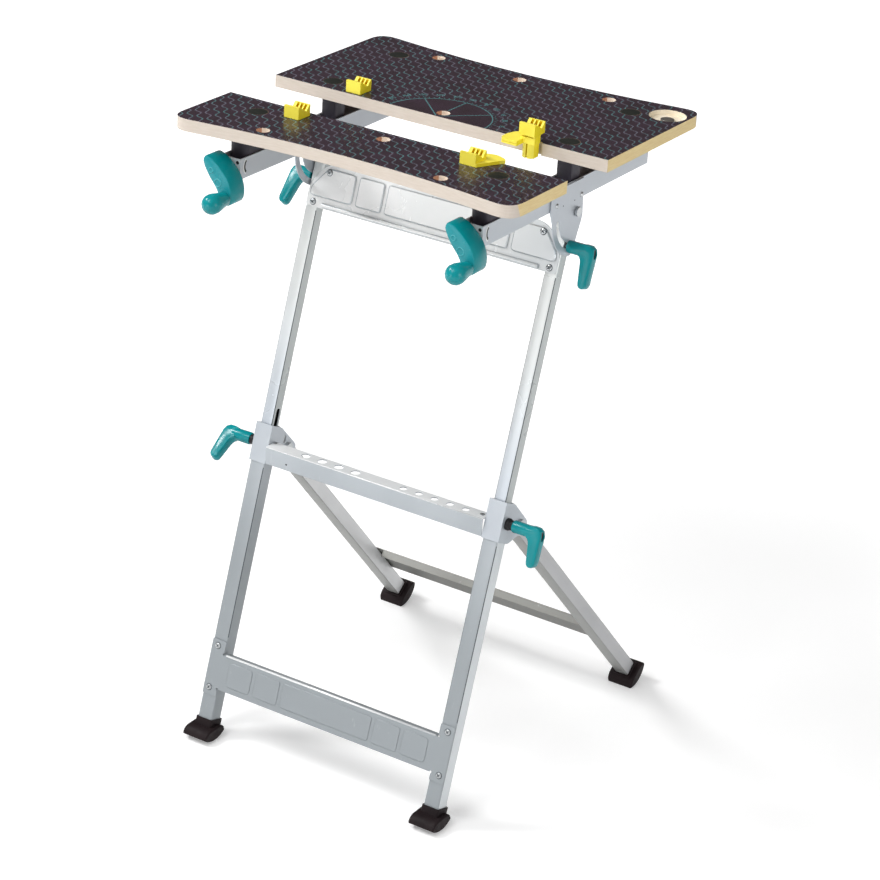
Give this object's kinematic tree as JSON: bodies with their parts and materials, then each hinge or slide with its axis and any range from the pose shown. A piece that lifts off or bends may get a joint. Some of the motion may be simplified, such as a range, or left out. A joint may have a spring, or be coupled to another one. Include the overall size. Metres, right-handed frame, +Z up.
{
  "type": "folding workbench",
  "caption": "Folding workbench with two crank-driven plywood jaws, tilting table, telescopic front legs, folding rear frame and swivelling bench dogs.",
  "frame": {"origin": "centre of the footprint, on the floor", "axes": "+Z up, +X to the user's right, the user stands on the -Y side"},
  "size_m": [0.5558, 0.632, 1.0012],
  "materials": {
    "tube": "satin silver paint",
    "bright": "bright zinc plate",
    "zinc": "zinc plated",
    "teal": "satin teal plastic",
    "yellow": "satin yellow plastic",
    "black": "matt black plastic",
    "foot": "matt black rubber",
    "charcoal": "matt charcoal plastic",
    "board": "film faced plywood"
  },
  "bodies": {
    "base": {"lower_leg_l": "tube", "lower_leg_r": "tube", "leg_collar_l": "tube", "leg_collar_r": "tube", "tool_tray": "tube", "lower_front_panel": "tube", "front_foot_l": "foot", "front_foot_r": "foot", "height_guide_bolt_l": "zinc", "height_guide_bolt_r": "zinc", "rear_pivot_bolt_l": "zinc", "rear_pivot_bolt_r": "zinc"},
    "rear_frame": {"rear_leg_l": "tube", "rear_leg_r": "tube", "rear_panel": "tube", "rear_foot_l": "foot", "rear_foot_r": "foot"},
    "upper_frame": {"upper_leg_l": "bright", "upper_leg_r": "bright", "leg_guide_l": "black", "leg_guide_r": "black", "upper_panel": "bright", "tilt_pivot_bolt_l": "zinc", "tilt_pivot_bolt_r": "zinc", "tilt_clamp_bolt_l": "zinc", "tilt_clamp_bolt_r": "zinc"},
    "table": {"rear_jaw": "board", "rail_l": "tube", "rail_r": "tube", "post_front_l": "charcoal", "post_front_r": "charcoal", "post_rear_l": "charcoal", "post_rear_r": "charcoal", "tilt_bracket_l": "tube", "tilt_bracket_r": "tube", "parts_magnet": "black"},
    "jaw_slide": {"front_jaw": "board", "jaw_slider_l": "charcoal", "jaw_slider_r": "charcoal"},
    "crank_l_turn": {"spindle_l": "zinc", "crank_arm_l": "teal"},
    "crank_r_turn": {"spindle_r": "zinc", "crank_arm_r": "teal"},
    "grip_l_turn": {"crank_grip_l": "teal"},
    "grip_r_turn": {"crank_grip_r": "teal"},
    "height_lever_l_turn": {"height_bushing_l": "black", "height_clamp_screw_l": "zinc", "height_lever_l": "teal"},
    "height_lever_r_turn": {"height_bushing_r": "black", "height_clamp_screw_r": "zinc", "height_lever_r": "teal"},
    "tilt_lever_l_turn": {"tilt_lever_l": "teal"},
    "tilt_lever_r_turn": {"tilt_lever_r": "teal"},
    "dog_front_l_turn": {"dog_front_l": "yellow"},
    "dog_front_r_turn": {"dog_front_r": "yellow"},
    "dog_rear_l_turn": {"dog_rear_l": "yellow"},
    "dog_rear_r_turn": {"dog_rear_r": "yellow"}
  },
  "joints": [
    {"name": "rear_fold", "type": "hinge", "parent": "base", "child": "rear_frame", "pos_m": [0, -0.08232, 0.425], "axis": [1, 0, 0], "range_deg": [-57, 0]},
    {"name": "height_slide", "type": "slide", "parent": "base", "child": "upper_frame", "axis": [0, 0.289, 0.9573], "range_m": [-0.052, 0.044]},
    {"name": "table_tilt", "type": "hinge", "parent": "upper_frame", "child": "table", "pos_m": [0, 0.01241, 0.87279], "axis": [1, 0, 0], "range_deg": [0, 65]},
    {"name": "jaw_travel", "type": "slide", "parent": "table", "child": "jaw_slide", "axis": [0, 1, 0], "range_m": [-0.01, 0.055]},
    {"name": "crank_l", "type": "hinge", "parent": "table", "child": "crank_l_turn", "pos_m": [-0.198, -0.2565, 0.902], "axis": [0, 1, 0], "range_deg": [-720, 3960]},
    {"name": "crank_r", "type": "hinge", "parent": "table", "child": "crank_r_turn", "pos_m": [0.198, -0.2565, 0.902], "axis": [0, 1, 0], "range_deg": [-720, 3960]},
    {"name": "grip_l", "type": "hinge", "parent": "crank_l_turn", "child": "grip_l_turn", "pos_m": [-0.178, -0.295, 0.873], "axis": [0, 1, 0], "continuous": true},
    {"name": "grip_r", "type": "hinge", "parent": "crank_r_turn", "child": "grip_r_turn", "pos_m": [0.218, -0.295, 0.873], "axis": [0, 1, 0], "continuous": true},
    {"name": "height_lever_l", "type": "hinge", "parent": "base", "child": "height_lever_l_turn", "pos_m": [-0.235, -0.11864, 0.43874], "axis": [1, 0, 0], "range_deg": [-58, 37]},
    {"name": "height_lever_r", "type": "hinge", "parent": "base", "child": "height_lever_r_turn", "pos_m": [0.235, -0.11864, 0.43874], "axis": [1, 0, 0], "range_deg": [-95, 0]},
    {"name": "tilt_lever_l", "type": "hinge", "parent": "upper_frame", "child": "tilt_lever_l_turn", "pos_m": [-0.23, -0.00204, 0.82492], "axis": [1, 0, 0], "range_deg": [-70, 25]},
    {"name": "tilt_lever_r", "type": "hinge", "parent": "upper_frame", "child": "tilt_lever_r_turn", "pos_m": [0.23, -0.00204, 0.82492], "axis": [1, 0, 0], "range_deg": [-95, 0]},
    {"name": "dog_front_l_swivel", "type": "hinge", "parent": "jaw_slide", "child": "dog_front_l_turn", "pos_m": [-0.1445, -0.1536, 0.97], "axis": [0, 0, 1], "continuous": true},
    {"name": "dog_front_r_swivel", "type": "hinge", "parent": "jaw_slide", "child": "dog_front_r_turn", "pos_m": [0.1445, -0.1536, 0.97], "axis": [0, 0, 1], "continuous": true},
    {"name": "dog_rear_l_swivel", "type": "hinge", "parent": "table", "child": "dog_rear_l_turn", "pos_m": [-0.1445, -0.002, 0.97], "axis": [0, 0, 1], "continuous": true},
    {"name": "dog_rear_r_swivel", "type": "hinge", "parent": "table", "child": "dog_rear_r_turn", "pos_m": [0.16, -0.028, 0.97], "axis": [0, 0, 1], "continuous": true}
  ],
  "couplings": [
    {"joint": "crank_l", "follows": "jaw_travel", "rad_per_m": 1256.6},
    {"joint": "crank_r", "follows": "jaw_travel", "rad_per_m": 1256.6}
  ]
}
